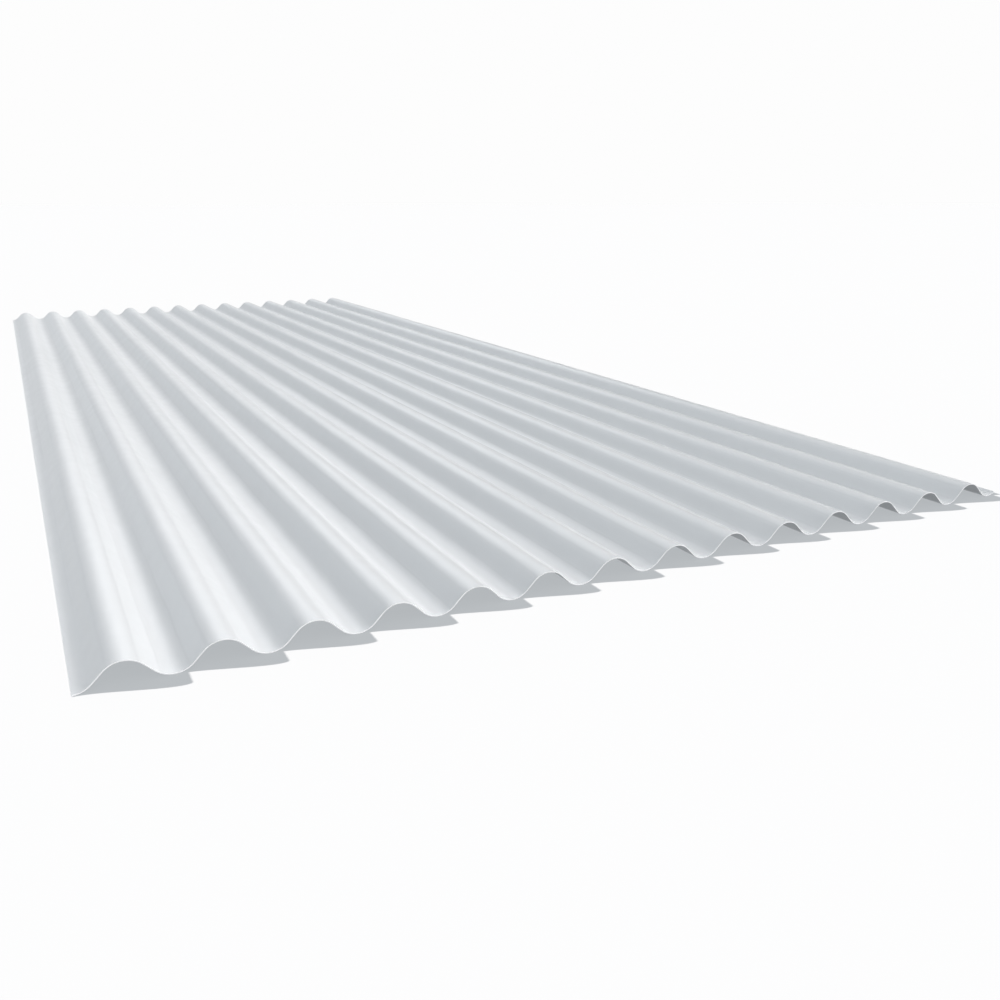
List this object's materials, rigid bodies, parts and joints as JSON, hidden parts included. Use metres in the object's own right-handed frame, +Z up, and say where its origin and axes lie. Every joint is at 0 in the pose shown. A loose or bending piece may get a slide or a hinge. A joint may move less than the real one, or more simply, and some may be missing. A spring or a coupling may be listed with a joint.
{
  "type": "corrugated roofing sheet",
  "caption": "Long, thin corrugated plastic roofing sheet with small round waves along its length, lying flat.",
  "frame": {"origin": "middle of the sheet's bounding box, on the level surface that the troughs lie on", "axes": "+X across the waves towards the edge with the narrow lip, +Y along the waves, +Z up"},
  "size_m": [1.076, 2.5, 0.0214],
  "materials": {
    "polypropylene": "satin"
  },
  "bodies": {
    "root": {"corrugated_sheet": "polypropylene"}
  },
  "joints": []
}
